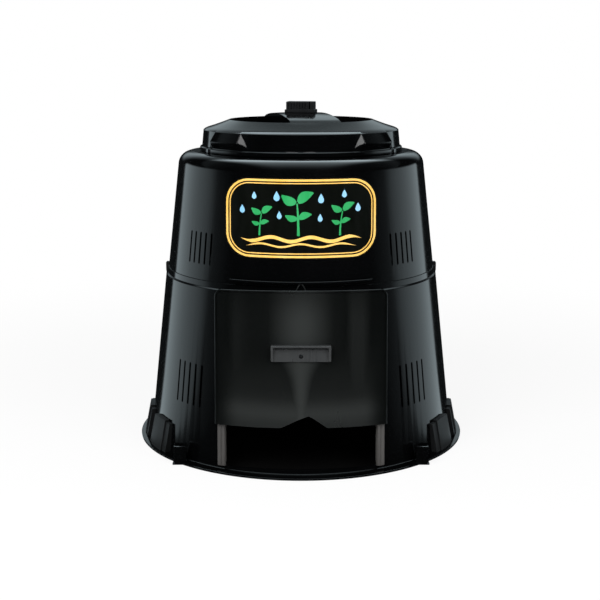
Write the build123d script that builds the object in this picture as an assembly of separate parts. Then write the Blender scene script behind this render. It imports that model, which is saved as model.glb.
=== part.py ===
from build123d import *
import os
from math import asin, atan, cos, degrees, radians, sin

# Round garden compost bin, in millimetres, standing on the ground.
# The origin is the centre of the base; +Z is up and the harvest door faces -Y.
# Angles are in degrees from the front, counted towards +X.

# Shell
wall = 3.2
foot_radius = 392.0
lower_taper = 0.110
flange_width = 27.0
flange_thickness = 5.0
seam_height = 440.0
band_height = 17.0
band_setback = 4.0
band_slope = 3.0
upper_setback = 4.8
upper_taper = 0.114
spigot_depth = 22.0
spigot_ledge = 6.0
spigot_clearance = 0.3
shoulder_height = 726.0
shoulder_round = 32.0

# Corner lugs with their ground-peg holes
lug_edge = 3.0
lug_boss = 30.0
lug_boss_height = 45.0
peg_inset = 7.5
peg_hole_radius = 9.0

# Vents
vent_count = 5
vent_pitch = 3.3
vent_width = 6.2
vent_bearings = (-46.8, 46.8, -133.2, 133.2)
low_vent_centre = 189.0
low_vent_height = 102.0
high_vent_above_seam = 75.0
high_vent_height = 76.0

# Harvest door, measured along the slope of the front
door_half_width = 203.0
door_thickness = 3.0
door_height = 319.0
door_travel = 106.0
door_below_seam = 5.0
door_corner_round = 18.0
door_cover = 14.0
door_bend_radius = 384.0
notch_centre = 6.5
notch_apex = 17.5
notch_half_width = 55.0
notch_rise = 30.0
notch_round = 12.0
sill_height = 18.0
opening_half_width = 178.0
opening_round = 12.0
rail_inner_x = 180.5
rail_width = 17.0
rail_web = 6.0
rail_lip = 2.0
hook_lip = 2.0
hook_overlap = 8.0
slide_clearance = 0.5
hook_stand_off = 2.4

# Door furniture
pull_width = 139.0
pull_height = 38.5
pull_depth = 16.0
pull_plate = 4.0
pull_rim = 5.0
pull_foot_depth = 7.0
pull_below_door_top = 126.0
pull_screw_drop = 26.0
screw_radius = 2.0
screw_head_radius = 5.0
screw_head_height = 2.5
screw_clearance = 0.1
loop_width = 26.0
loop_tip_width = 8.0
loop_strand = 3.0
hood_gap = 0.4
hood_thickness = 6.0
hood_half_angle = 28.0
hood_reach = 2.0
loop_rise = 16.0

# Seam clips
clip_bearings = {"left": -90.0, "right": 90.0, "rear": 180.0}
clip_width = 16.0
clip_proud = 5.0
clip_lap = 4.0

# Foot blocks
block_bearings = (63.0, 84.0, 115.0, 150.0, 180.0, 210.0, 245.0, 276.0, 297.0)
block_angle = 15.0
block_crest_angle = 9.0
block_height = 80.0
block_shoulder_drop = 5.0
block_foot_proud = 17.5
block_head_proud = 11.0

# Lid
lid_gap = 5.0
lip_overhang = 4.0
lip_height = 11.5
skirt_height = 41.5
skirt_foot_radius = 250.5
skirt_head_radius = 245.0
neck_inset = 9.0
neck_below_skirt_top = 0.5
crown_rise = 40.0
crown_edge_radius = 170.0
crown_edge_drop = 12.0
lobe_bearings = (46.2, 133.8, -46.2, -133.8)
lobe_radius = 262.0
lobe_crease_drop = 25.0
lobe_flat_angle = 21.6
lobe_foot_ramp = 6.4
lobe_crease_ramp = 3.9
lobe_head_ramp = 0.6
scoop_radius = 181.0
scoop_floor_drop = 30.0
scoop_turn = 12.0
scoop_bar_half_width = 61.0
scoop_round = 16.0

# Lid handle
handle_turn = -11.0
handle_width = 70.0
handle_depth = 36.0
handle_top_rise = 27.5
handle_plinth_step = 3.0
handle_plinth_rise = 8.0
handle_seat = 12.0
handle_rib_count = 7
handle_rib_first_x = -28.0
handle_rib_pitch = 7.0
handle_rib_groove = 2.5
handle_groove_depth = 2.0
handle_slit_width = 3.0
handle_slit_depth = 20.0
handle_slit_reach = 22.0
handle_slit_x = 25.0
handle_round = 2.0
handle_screw_spacing = 36.0
handle_screw_radius = 2.5
handle_screw_depth = 14.0
handle_screw_head_radius = 5.0
handle_screw_head_height = 3.0

# Label
label_width = 356.0
label_height = 186.0
label_round = 58.0
label_thickness = 0.6
label_above_middle = 14.0

# Values that follow from the driving sizes
slope = degrees(atan(lower_taper))
flange_radius = foot_radius + flange_width
band_foot = seam_height - band_height
lid_foot = shoulder_height + lid_gap
lip_top = lid_foot + lip_height
skirt_top = lip_top + skirt_height
neck_radius = skirt_head_radius - neck_inset
neck_top = skirt_top - neck_below_skirt_top
crown = skirt_top + crown_rise
door_top = (seam_height - door_below_seam) / cos(radians(slope))
door_foot = door_top - door_height
hook_inner = door_bend_radius + hook_stand_off
hook_outer = hook_inner + hook_lip
lip_inner = hook_outer + slide_clearance
lip_outer = lip_inner + rail_lip
door_inner = lip_outer + slide_clearance
door_outer = door_inner + door_thickness
front_slope = Location((0, -foot_radius, 0), (-slope, 0, 0))
through = 2 * flange_radius


def lower_radius(height):
    """Outside of the lower wall at a height."""
    return foot_radius - lower_taper * height


def band_radius(height):
    """Outside of the recessed band under the seam."""
    return lower_radius(height) - band_setback


def upper_radius(height):
    """Outside of the upper wall at a height."""
    return lower_radius(seam_height) - upper_setback - upper_taper * (height - seam_height)


def bearing(radius, angle):
    """Plan point at a radius and an angle from the front."""
    return (radius * sin(radians(angle)), -radius * cos(radians(angle)))


def turned(angle):
    """Turn about the upright axis from the front to an angle."""
    return Location((0, 0, 0), (0, 0, angle))


def revolved(face, arc=360.0):
    """Turn a (radius, height) face about the upright axis, centred on the front."""
    shape = revolve(Plane.XZ * face, Axis.Z, revolution_arc=arc)
    return turned(-90.0 - arc / 2) * shape


def profile(*points):
    """Face from (radius, height) points."""
    return Polygon(*points, align=None)


def corner(face, x, y):
    """The corner of a flat face that is nearest to a point."""
    return face.vertices().sort_by_distance((x, y, 0))[0]


def ring_sector(inner, outer, start, end):
    """Plan face between two radii and two angles."""
    middle = (start + end) / 2
    outer_arc = ThreePointArc(bearing(outer, start), bearing(outer, middle), bearing(outer, end))
    inner_arc = ThreePointArc(bearing(inner, end), bearing(inner, middle), bearing(inner, start))
    end_side = Line(bearing(outer, end), bearing(inner, end))
    start_side = Line(bearing(inner, start), bearing(outer, start))
    return make_face([outer_arc, end_side, inner_arc, start_side])


def front_sector(inner, outer, start, end, low, high):
    """Strip that follows the door's bend and runs along the slope of the front."""
    face = Pos(0, door_bend_radius, low) * ring_sector(inner, outer, start, end)
    return front_slope * extrude(face, high - low)


def front_plate(face, reach):
    """Front-view face pushed both ways through the front, along the slope's normal."""
    return front_slope * extrude(Plane.XZ * face, reach, both=True)


def angle_at(x, radius):
    """Angle from the front where a radius reaches a sideways distance."""
    return degrees(asin(x / radius))


def vent_row(radius, centre, height, middle_bearing):
    """Cutter for one group of upright vent slots."""
    slot = SlotOverall(height, vent_width, rotation=90)
    cutter = Plane.XZ.offset(radius / 2) * Pos(0, centre) * extrude(slot, radius)
    first = middle_bearing - vent_pitch * (vent_count - 1) / 2
    return [turned(first + vent_pitch * index) * cutter for index in range(vent_count)]


def make_core():
    """Filled outside of both halves, used to seat what is fixed on the shell."""
    return revolved(profile(
        (0, 0),
        (lower_radius(0), 0),
        (lower_radius(band_foot), band_foot),
        (band_radius(band_foot + band_slope), band_foot + band_slope),
        (band_radius(seam_height), seam_height),
        (upper_radius(seam_height), seam_height),
        (upper_radius(shoulder_height), shoulder_height),
        (0, shoulder_height),
    ))


def make_lower_body():
    """Tapered lower half with the flange, the lugs, the opening and the vents."""
    body = revolved(profile(
        (0, 0),
        (flange_radius, 0),
        (flange_radius, flange_thickness),
        (lower_radius(flange_thickness), flange_thickness),
        (lower_radius(band_foot), band_foot),
        (band_radius(band_foot + band_slope), band_foot + band_slope),
        (band_radius(seam_height), seam_height),
        (0, seam_height),
    ))
    diagonal = sin(radians(45))
    peg = (flange_radius - peg_inset) * diagonal
    lug_corner = peg + lug_boss / 2 + lug_edge
    lug_tab = lug_corner - (lower_radius(0) - wall) * diagonal
    tab_middle = lug_corner - lug_tab / 2
    low = (Align.CENTER, Align.CENTER, Align.MIN)
    tab = Pos(tab_middle, -tab_middle) * Box(lug_tab, lug_tab, flange_thickness, align=low)
    boss = Pos(peg, -peg) * Box(lug_boss, lug_boss, lug_boss_height, align=low)
    hole = Pos(peg, -peg) * Cylinder(peg_hole_radius, through)
    for quarter in range(4):
        body += turned(90.0 * quarter) * (tab + boss)
    inner_step = band_foot - wall
    body -= revolved(profile(
        (0, 0),
        (lower_radius(0) - wall, 0),
        (lower_radius(inner_step - wall) - wall, inner_step - wall),
        (band_radius(inner_step) - wall, inner_step),
        (band_radius(seam_height) - wall, seam_height),
        (0, seam_height),
    ))
    body -= [turned(90.0 * quarter) * hole for quarter in range(4)]
    opening_top = door_top - door_travel - door_cover
    opening_middle = (sill_height + opening_top) / 2
    opening = RectangleRounded(2 * opening_half_width, opening_top - sill_height, opening_round)
    body -= front_plate(Pos(0, opening_middle) * opening, foot_radius / 2)
    for middle in vent_bearings:
        body -= vent_row(foot_radius, low_vent_centre, low_vent_height, middle)
    return body


def make_upper_body():
    """Tapered upper half with the spigot, the shoulder, the neck, the vents and the hood."""
    spigot_top = band_radius(seam_height) - wall - spigot_clearance
    spigot_foot = spigot_top + lower_taper * spigot_depth
    shoulder_edge = upper_radius(shoulder_height)
    inner_shoulder = shoulder_height - wall
    outside = profile(
        (0, seam_height - spigot_depth),
        (spigot_foot, seam_height - spigot_depth),
        (spigot_top, seam_height),
        (upper_radius(seam_height), seam_height),
        (shoulder_edge, shoulder_height),
        (neck_radius, shoulder_height),
        (neck_radius, neck_top),
        (0, neck_top),
    )
    outside = fillet(corner(outside, shoulder_edge, shoulder_height), shoulder_round)
    inside = profile(
        (0, seam_height - spigot_depth),
        (spigot_foot - wall, seam_height - spigot_depth),
        (spigot_top - wall, seam_height),
        (spigot_top - wall, seam_height + spigot_ledge / 2),
        (upper_radius(seam_height + spigot_ledge) - wall, seam_height + spigot_ledge),
        (upper_radius(inner_shoulder) - wall, inner_shoulder),
        (neck_radius - wall, inner_shoulder),
        (neck_radius - wall, neck_top),
        (0, neck_top),
    )
    inside = fillet(corner(inside, upper_radius(inner_shoulder) - wall, inner_shoulder), shoulder_round - wall)
    body = revolved(outside) - revolved(inside)
    vent_middle = seam_height + high_vent_above_seam
    for middle in vent_bearings:
        body -= vent_row(foot_radius, vent_middle, high_vent_height, middle)
    door_proud = door_outer - door_bend_radius
    loop_top = (door_top + loop_rise) * cos(radians(slope)) + door_proud * sin(radians(slope))
    hood_foot = loop_top + hood_gap
    loop_front = lower_radius(loop_top) + door_proud
    hood_face = profile(
        (upper_radius(hood_foot) - wall / 2, hood_foot),
        (loop_front + hood_reach, hood_foot),
        (loop_front + hood_reach, hood_foot + hood_thickness),
        (upper_radius(hood_foot + hood_thickness) - wall / 2, hood_foot + hood_thickness),
    )
    return body + revolved(hood_face, 2 * hood_half_angle)


def make_door():
    """Bent sliding panel with edges that hook behind the rails."""
    half_angle = angle_at(door_half_width, door_outer)
    edge_angle = half_angle - degrees(door_thickness / door_outer)
    hook_angle = angle_at(rail_inner_x + rail_width - hook_overlap, hook_outer)
    door = front_sector(door_inner, door_outer, -half_angle, half_angle, door_foot, door_top)
    for side in (-1, 1):
        edge = sorted((side * edge_angle, side * half_angle))
        hook = sorted((side * hook_angle, side * half_angle))
        door += front_sector(hook_inner, door_inner, *edge, door_foot, door_top)
        door += front_sector(hook_inner, hook_outer, *hook, door_foot, door_top)
    outline = profile(
        (-door_half_width, door_foot),
        (notch_centre - notch_half_width, door_foot),
        (notch_apex, door_foot + notch_rise),
        (notch_centre + notch_half_width, door_foot),
        (door_half_width, door_foot),
        (door_half_width, door_top),
        (-door_half_width, door_top),
    )
    top_corners = [corner(outline, side * door_half_width, door_top) for side in (-1, 1)]
    outline = fillet(top_corners, door_corner_round)
    outline = fillet(corner(outline, notch_apex, door_foot + notch_rise), notch_round)
    return door & front_plate(outline, foot_radius / 2)


def rail_section(side):
    """One door rail: a web on the wall under a lip that holds the door's hook."""
    lip_edges = (angle_at(rail_inner_x, lip_outer), angle_at(rail_inner_x + rail_width, lip_outer))
    web_edges = (lip_edges[0], angle_at(rail_inner_x + rail_web, lip_outer))
    rail_top = door_top - door_corner_round
    lip = front_sector(lip_inner, lip_outer, *sorted(side * edge for edge in lip_edges), sill_height, rail_top)
    web_root = door_bend_radius - door_thickness * 4
    web = front_sector(web_root, lip_outer, *sorted(side * edge for edge in web_edges), sill_height, rail_top)
    return lip + web - core


def make_pull():
    """Shallow hooded box with its back on the door, open to the fingers from below."""
    top = door_top - pull_below_door_top
    foot = top - pull_height
    face = door_outer - door_bend_radius
    side_view = profile(
        (0, foot),
        (-face - pull_foot_depth, foot),
        (-face - pull_depth, top - pull_rim),
        (-face - pull_depth, top),
        (0, top),
    )
    pull = extrude(Plane.YZ * side_view, pull_width / 2, both=True)
    hollow = Box(pull_width - 2 * pull_rim, through, pull_height, align=(Align.CENTER, Align.MAX, Align.MAX))
    pull = front_slope * (pull - Pos(0, -face - pull_plate, top - pull_rim) * hollow)
    pull -= front_sector(0.5 * door_inner, door_outer, -60, 60, foot - pull_height, top + pull_height)
    return pull


def pull_screw_axis():
    """Place of the pull's screw on the face of the plate, pointing into the door."""
    face = door_outer - door_bend_radius + pull_plate
    height = door_top - pull_below_door_top - pull_screw_drop
    return front_slope * Location((0, -face, height), (-90, 0, 0))


def make_latch_loop():
    """Small triangular eye that stands on the top edge of the door."""
    outline = profile(
        (-loop_width / 2, door_top),
        (loop_width / 2, door_top),
        (loop_tip_width / 2, door_top + loop_rise),
        (-loop_tip_width / 2, door_top + loop_rise),
    )
    eye = profile(
        (-loop_width / 2 + 2 * loop_strand, door_top + loop_strand),
        (loop_width / 2 - 2 * loop_strand, door_top + loop_strand),
        (0, door_top + loop_rise - loop_strand),
    )
    middle = Pos(0, door_bend_radius - door_outer + door_thickness / 2)
    return front_slope * middle * extrude(Plane.XZ * (outline - eye), door_thickness / 2, both=True)


def make_clip(angle):
    """Clip that bridges the recessed band between the two halves."""
    low = band_foot - clip_lap
    high = seam_height + clip_lap
    face = profile(
        (band_radius(seam_height) - wall, low),
        (lower_radius(low) + clip_proud / 2, low),
        (lower_radius(band_foot) + clip_proud / 2, band_foot),
        (upper_radius(seam_height) + clip_proud, seam_height),
        (upper_radius(high) + clip_proud / 2, high),
        (band_radius(seam_height) - wall, high),
    )
    arc = degrees(clip_width / lower_radius(band_foot))
    return turned(angle) * (revolved(face, arc) - core)


def make_foot_block(angle):
    """Stepped block that stands on the flange against the wall."""
    def step(arc, top, proud_foot, proud_head):
        face = profile(
            (lower_radius(top) - wall, flange_thickness),
            (lower_radius(flange_thickness) + proud_foot, flange_thickness),
            (lower_radius(top) + proud_head, top),
            (lower_radius(top) - wall, top),
        )
        return revolved(face, arc)

    shoulder_top = block_height - block_shoulder_drop
    crest = step(block_crest_angle, block_height, block_foot_proud, block_head_proud)
    setback = block_shoulder_drop / 2
    flanks = step(block_angle, shoulder_top, block_foot_proud - setback, block_head_proud - setback)
    return turned(angle) * (crest + flanks - core)


def dome_face(offset):
    """Half section of the lid down to its open foot, inside the skin by an offset."""
    edge_z = crown - crown_edge_drop - offset
    top = crown - offset
    rim_z = skirt_top - offset
    rim_radius = skirt_head_radius - offset
    foot_radius_here = skirt_foot_radius - offset
    crown_bulge = (0.62 * crown_edge_radius, top - 0.36 * crown_edge_drop)
    haunch_x = (crown_edge_radius + rim_radius) / 2
    haunch_z = (edge_z + rim_z) / 2 + crown_edge_drop / 4
    arcs = [
        ThreePointArc((0, top), crown_bulge, (crown_edge_radius, edge_z)),
        ThreePointArc((crown_edge_radius, edge_z), (haunch_x, haunch_z), (rim_radius, rim_z)),
    ]
    sides = Polyline((rim_radius, rim_z), (foot_radius_here, lip_top), (foot_radius_here, lid_foot), (0, lid_foot), (0, top))
    return make_face(arcs + sides.edges())


def lobe(angle, offset):
    """Lobe that leans out of the skirt to a crease and stands upright below it, inside the skin by an offset."""
    root = neck_radius + wall
    flat = lobe_flat_angle / 2

    def section(height, outer, inner, ramp):
        ramp_end = flat + ramp
        arc = ThreePointArc(bearing(outer, -flat), bearing(outer, 0), bearing(outer, flat))
        back = ThreePointArc(bearing(root, ramp_end), bearing(root, 0), bearing(root, -ramp_end))
        right = Polyline(bearing(outer, flat), bearing(inner, ramp_end), bearing(root, ramp_end))
        left = Polyline(bearing(root, -ramp_end), bearing(inner, -ramp_end), bearing(outer, -flat))
        return Pos(0, 0, height) * make_face([arc, *right.edges(), back, *left.edges()])

    outer = lobe_radius - offset
    head = skirt_head_radius - offset
    crease_share = lobe_crease_drop / (skirt_top - lip_top)
    crease_inner = head + (skirt_foot_radius - skirt_head_radius) * crease_share
    low = section(lid_foot, outer, skirt_foot_radius - offset, lobe_foot_ramp)
    crease = section(skirt_top - lobe_crease_drop, outer, crease_inner, lobe_crease_ramp)
    high = section(skirt_top - offset, head, head - lobe_head_ramp, lobe_head_ramp)
    return turned(angle) * loft([low, crease, high], ruled=True)


def scoop_plan(side, offset):
    """Plan of one finger scoop, grown by an offset: a round cut off by the middle bar."""
    keep = Pos(side * (scoop_bar_half_width - offset), 0) * Rectangle(
        through, through, align=(Align.MIN if side > 0 else Align.MAX, Align.CENTER))
    plan = Circle(scoop_radius + offset) & keep
    return fillet(plan.vertices(), scoop_round)


def make_lid():
    """Domed lid with lobes, a lip, a seat for the neck and two finger scoops."""
    skin = revolved(dome_face(0))
    hollow = revolved(dome_face(wall))
    for angle in lobe_bearings:
        skin += lobe(angle, 0)
        hollow += lobe(angle, wall)
    up = (Align.CENTER, Align.CENTER, Align.MIN)
    lip_slab = Pos(0, 0, lid_foot) * Cylinder(through, lip_height, align=up)
    lip = Pos(0, 0, lid_foot) * Cylinder(skirt_foot_radius + lip_overhang, lip_height, align=up)
    for angle in lobe_bearings:
        lip += lobe(angle, -lip_overhang) & lip_slab
    seat = extrude(Pos(0, 0, neck_top) * (Circle(neck_radius) - Circle(neck_radius - wall)), crown - neck_top)
    lid = skin + lip - hollow + (seat & hollow)
    floor_z = crown - scoop_floor_drop
    for side in (-1, 1):
        pan = extrude(Pos(0, 0, floor_z - wall) * scoop_plan(side, wall), scoop_floor_drop + wall)
        pocket = extrude(Pos(0, 0, floor_z) * scoop_plan(side, 0), scoop_floor_drop + wall)
        lid += turned(scoop_turn) * (pan & skin)
        lid -= turned(scoop_turn) * pocket
    for x in handle_screw_places:
        lid -= turned(handle_turn) * Pos(x, 0, crown) * Cylinder(handle_screw_radius + screw_clearance, 4 * wall)
    return lid


def make_handle():
    """Ribbed block on a plinth on the crown, with a slit in its front near one end."""
    height = handle_top_rise + handle_seat
    block = Box(handle_width, handle_depth, height)
    block = fillet(block.edges().filter_by(Axis.Z) + block.faces().sort_by(Axis.Z)[-1].edges(), handle_round)
    groove = Box(handle_rib_groove, 2 * handle_groove_depth, height - 2 * handle_rib_pitch)
    for index in range(handle_rib_count):
        x = handle_rib_first_x + handle_rib_pitch * index
        for side in (-1, 1):
            block -= Pos(x, side * handle_depth / 2, 0) * groove
    slit = Box(handle_slit_width, handle_slit_reach, handle_slit_depth, align=(Align.CENTER, Align.MIN, Align.MAX))
    block -= Pos(handle_slit_x, -handle_depth / 2, height / 2) * slit
    plinth_height = handle_seat + handle_plinth_rise
    plinth = Box(
        handle_width + 2 * handle_plinth_step,
        handle_depth + 2 * handle_plinth_step,
        plinth_height,
        align=(Align.CENTER, Align.CENTER, Align.MIN),
    )
    plinth = fillet(plinth.edges().filter_by(Axis.Z), handle_round)
    block = Pos(0, 0, crown + handle_top_rise - height / 2) * (block + Pos(0, 0, -height / 2) * plinth)
    block -= revolved(dome_face(0))
    for x in handle_screw_places:
        block -= Pos(x, 0, crown) * Cylinder(handle_screw_radius + screw_clearance, 2 * handle_screw_depth)
    return turned(handle_turn) * block


def make_handle_screws():
    """Two screws from inside the lid into the handle."""
    screws = []
    up = (Align.CENTER, Align.CENTER, Align.MIN)
    down = (Align.CENTER, Align.CENTER, Align.MAX)
    seat = crown - wall - crown_edge_drop * (handle_screw_spacing / 2 / crown_edge_radius) ** 2 - slide_clearance / 2
    for x in handle_screw_places:
        shank = Cylinder(handle_screw_radius, wall + handle_screw_depth - 2 * screw_clearance, align=up)
        head = Cylinder(handle_screw_head_radius, handle_screw_head_height, align=down)
        screws.append(turned(handle_turn) * Pos(x, 0, seat) * (shank + head))
    return Compound(children=screws)


def make_label():
    """Thin label bent round the front of the upper half."""
    middle = (seam_height + shoulder_height) / 2 + label_above_middle
    low = middle - label_height
    high = middle + label_height
    face = profile(
        (upper_radius(low), low),
        (upper_radius(low) + label_thickness, low),
        (upper_radius(high) + label_thickness, high),
        (upper_radius(high), high),
    )
    outline = Pos(0, middle) * RectangleRounded(label_width, label_height, label_round)
    window = extrude(Plane.XZ * outline, through)
    return revolved(face, 120) & window


handle_screw_places = (-handle_screw_spacing / 2, handle_screw_spacing / 2)
core = make_core()
pull_screw_place = pull_screw_axis()
pull_screw_length = pull_plate + door_thickness
screw_hole = pull_screw_place * Cylinder(screw_radius + screw_clearance, 4 * pull_screw_length)
screw_head = Cylinder(screw_head_radius, screw_head_height, align=(Align.CENTER, Align.CENTER, Align.MAX))
screw_shank = Cylinder(screw_radius, pull_screw_length, align=(Align.CENTER, Align.CENTER, Align.MIN))

parts = {
    "lower_body": make_lower_body(),
    "upper_body": make_upper_body(),
    "harvest_door": make_door() - screw_hole,
    "door_rail_left": rail_section(-1),
    "door_rail_right": rail_section(1),
    "door_pull": make_pull() - screw_hole,
    "door_pull_screw": pull_screw_place * (screw_head + screw_shank),
    "door_latch_loop": make_latch_loop(),
    "lid": make_lid(),
    "lid_handle": make_handle(),
    "lid_handle_screws": make_handle_screws(),
    "front_label": make_label(),
}
for side, angle in clip_bearings.items():
    parts[f"joint_clip_{side}"] = make_clip(angle)
for index, angle in enumerate(block_bearings):
    parts[f"foot_block_{index + 1}"] = make_foot_block(angle)

os.makedirs("parts", exist_ok=True)
for name, shape in parts.items():
    export_step(shape, f"parts/{name}.step")
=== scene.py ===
from math import asin, atan, atan2, cos, pi, radians, sin, tan

import bpy
from mathutils import Matrix, Vector


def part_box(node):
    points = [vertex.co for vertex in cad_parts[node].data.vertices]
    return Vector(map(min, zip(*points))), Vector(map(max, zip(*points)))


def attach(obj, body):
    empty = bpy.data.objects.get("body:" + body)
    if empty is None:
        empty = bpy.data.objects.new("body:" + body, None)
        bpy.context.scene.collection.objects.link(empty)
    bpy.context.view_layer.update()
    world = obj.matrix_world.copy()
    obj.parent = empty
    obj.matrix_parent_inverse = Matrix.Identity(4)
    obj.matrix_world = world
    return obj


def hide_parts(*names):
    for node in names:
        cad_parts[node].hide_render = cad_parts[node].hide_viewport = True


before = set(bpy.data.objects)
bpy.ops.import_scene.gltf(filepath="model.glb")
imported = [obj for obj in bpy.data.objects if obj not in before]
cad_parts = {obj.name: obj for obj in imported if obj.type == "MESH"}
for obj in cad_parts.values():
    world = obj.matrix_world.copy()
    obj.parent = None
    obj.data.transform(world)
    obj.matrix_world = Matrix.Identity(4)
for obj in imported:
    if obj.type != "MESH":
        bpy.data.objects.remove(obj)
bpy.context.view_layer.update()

# Lower half of the shell: a tapered tub of black polyethylene on a wide ground flange.
# The mould draws its top in to a narrow band, which the upper half stands on.
seam_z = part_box("lower_body")[1].z
flange_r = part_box("lower_body")[1].x
wall = 0.0032
tub_foot_r = 0.392
tub_taper = 0.110
flange_thick = 0.005
band_tall = 0.017
band_setback = 0.004


def tub_r(z):
    """Outside radius of the lower wall at a height."""
    return tub_foot_r - tub_taper * z


def only(piece):
    """Make a piece the one selected and active object."""
    if bpy.context.mode != "OBJECT":
        bpy.ops.object.mode_set(mode="OBJECT")
    bpy.ops.object.select_all(action="DESELECT")
    piece.select_set(True)
    bpy.context.view_layer.objects.active = piece
    return piece


def rounded(corners, cuts=5):
    """Closed outline from (radius, height, rounding) corners, each rounding drawn as an arc."""
    outline = []
    for index, (r, z, rounding) in enumerate(corners):
        here = Vector((r, z))
        if rounding == 0:
            outline.append(here)
            continue
        before = (Vector(corners[index - 1][:2]) - here).normalized()
        after = (Vector(corners[(index + 1) % len(corners)][:2]) - here).normalized()
        half = before.angle(after) / 2
        middle = here + (before + after).normalized() * (rounding / sin(half))
        start = here + before * (rounding / tan(half)) - middle
        end = here + after * (rounding / tan(half)) - middle
        for cut in range(cuts + 1):
            outline.append(middle + start.lerp(end, cut / cuts).normalized() * rounding)
    return outline


def turn(name, outline, start=0.0, sweep=360.0, steps=240):
    """Spin a (radius, height) outline about the upright axis; one that starts on the axis also ends there."""
    bearing = radians(start)
    points = [(r * sin(bearing), -r * cos(bearing), z) for r, z in outline]
    edges = [(i - 1, i) for i in range(1, len(points))]
    if outline[0][0] > 0:
        edges.append((len(points) - 1, 0))
    mesh = bpy.data.meshes.new(name)
    mesh.from_pydata(points, edges, [])
    piece = bpy.data.objects.new(name, mesh)
    bpy.context.collection.objects.link(piece)
    only(piece)
    bpy.ops.object.mode_set(mode="EDIT")
    bpy.ops.mesh.select_all(action="SELECT")
    bpy.ops.mesh.spin(steps=steps, angle=-radians(sweep), center=(0, 0, 0), axis=(0, 0, 1))
    bpy.ops.mesh.select_all(action="SELECT")
    bpy.ops.mesh.remove_doubles(threshold=1e-6)
    bpy.ops.mesh.select_mode(type="EDGE")
    bpy.ops.mesh.select_all(action="DESELECT")
    bpy.ops.mesh.select_non_manifold()
    bpy.ops.mesh.fill_holes(sides=0)
    bpy.ops.mesh.select_all(action="SELECT")
    bpy.ops.mesh.normals_make_consistent(inside=False)
    bpy.ops.object.mode_set(mode="OBJECT")
    return piece


def cut(piece, tool, how="DIFFERENCE"):
    """Cut a piece with a tool, or join them, and throw the tool away."""
    only(piece)
    bpy.ops.object.modifier_add(type="BOOLEAN")
    change = piece.modifiers[-1]
    change.operation = how
    change.solver = "EXACT"
    change.object = tool
    bpy.ops.object.modifier_apply(modifier=change.name)
    bpy.data.objects.remove(tool)
    return piece


def block(name, size, place, rounding, along=None, segments=4):
    """Cube of a size at a place, with all edges rounded, or only those along one axis."""
    if bpy.context.mode != "OBJECT":
        bpy.ops.object.mode_set(mode="OBJECT")
    bpy.ops.object.select_all(action="DESELECT")
    bpy.ops.mesh.primitive_cube_add(size=1)
    piece = bpy.context.active_object
    piece.name = name
    bpy.ops.object.mode_set(mode="EDIT")
    bpy.ops.transform.resize(value=size)
    bpy.ops.mesh.select_all(action="DESELECT")
    bpy.ops.mesh.select_mode(type="EDGE")
    bpy.ops.object.mode_set(mode="OBJECT")
    for edge in piece.data.edges:
        run = piece.data.vertices[edge.vertices[1]].co - piece.data.vertices[edge.vertices[0]].co
        edge.select = along is None or abs(run[along]) > 0
    bpy.ops.object.mode_set(mode="EDIT")
    bpy.ops.mesh.bevel(offset=rounding, segments=segments, affect="EDGES")
    bpy.ops.mesh.select_all(action="SELECT")
    bpy.ops.transform.translate(value=place)
    bpy.ops.object.mode_set(mode="OBJECT")
    return piece


def copies(piece, moves):
    """One joined tool made of a piece copied through a list of moves; the first piece is used up."""
    made = []
    for move in moves:
        twin = piece.copy()
        twin.data = piece.data.copy()
        twin.data.transform(move)
        bpy.context.collection.objects.link(twin)
        made.append(twin)
    bpy.data.objects.remove(piece)
    only(made[0])
    for twin in made:
        twin.select_set(True)
    bpy.ops.object.join()
    return made[0]


def about_z(angle):
    """Turn about the upright axis from the front, in degrees towards the right."""
    return Matrix.Rotation(radians(angle), 4, "Z")


def smooth(piece, angle=32):
    """Smooth shading that keeps the edges sharper than an angle."""
    only(piece)
    bpy.ops.object.shade_smooth_by_angle(angle=radians(angle))
    return piece


vent_wide = 0.0062
vent_pitch = 3.3
vent_middles = (-46.8, 46.8, -133.2, 133.2)


def vents(r, z, tall):
    """Cutter for the four groups of five upright slots at one height."""
    slot = block("vent_cutter", (vent_wide, 0.08, tall), (0, -r, z), vent_wide * 0.48, along=1)
    return copies(slot, [about_z(m + vent_pitch * (k - 2)) for m in vent_middles for k in range(5)])


band_z = seam_z - band_tall
step_z = band_z - 2 * wall
lower_shell = turn("lower_shell", rounded([
    (tub_r(0) - wall, 0, 0.001),
    (flange_r, 0, 0.0015),
    (flange_r, flange_thick, 0.0015),
    (tub_r(flange_thick), flange_thick, 0.004),
    (tub_r(band_z), band_z, 0.0018),
    (tub_r(band_z + 0.003) - band_setback, band_z + 0.003, 0.0012),
    (tub_r(seam_z) - band_setback, seam_z, 0.0008),
    (tub_r(seam_z) - band_setback - wall, seam_z, 0.0008),
    (tub_r(step_z + wall) - band_setback - wall, step_z + wall, 0.001),
    (tub_r(step_z) - wall, step_z, 0.001),
]))

# The lugs at the corners of the flange are square hollow bosses on a tab; a ground peg goes down each.
lug_corner = 0.309
lug_tab = 0.034
boss_size = 0.030
boss_tall = 0.045
peg_r = 0.009
peg_at = 0.4115 * sin(radians(45))
tab_at = lug_corner - lug_tab / 2
quarters = [about_z(90 * quarter) for quarter in range(4)]
tab_thick = flange_thick - 0.0006
tab = block("lug_tab", (lug_tab, lug_tab, tab_thick), (tab_at, -tab_at, flange_thick / 2), 0.0015, segments=2)
cut(lower_shell, copies(tab, quarters), "UNION")
boss = block("lug_boss", (boss_size, boss_size, boss_tall), (peg_at, -peg_at, boss_tall / 2 + 0.001), 0.002, segments=2)
cut(lower_shell, copies(boss, quarters), "UNION")
bpy.ops.mesh.primitive_cylinder_add(vertices=32, radius=peg_r, depth=4 * boss_tall, location=(peg_at, -peg_at, 0))
bpy.ops.object.transform_apply(location=True)
cut(lower_shell, copies(bpy.context.active_object, quarters))

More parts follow.
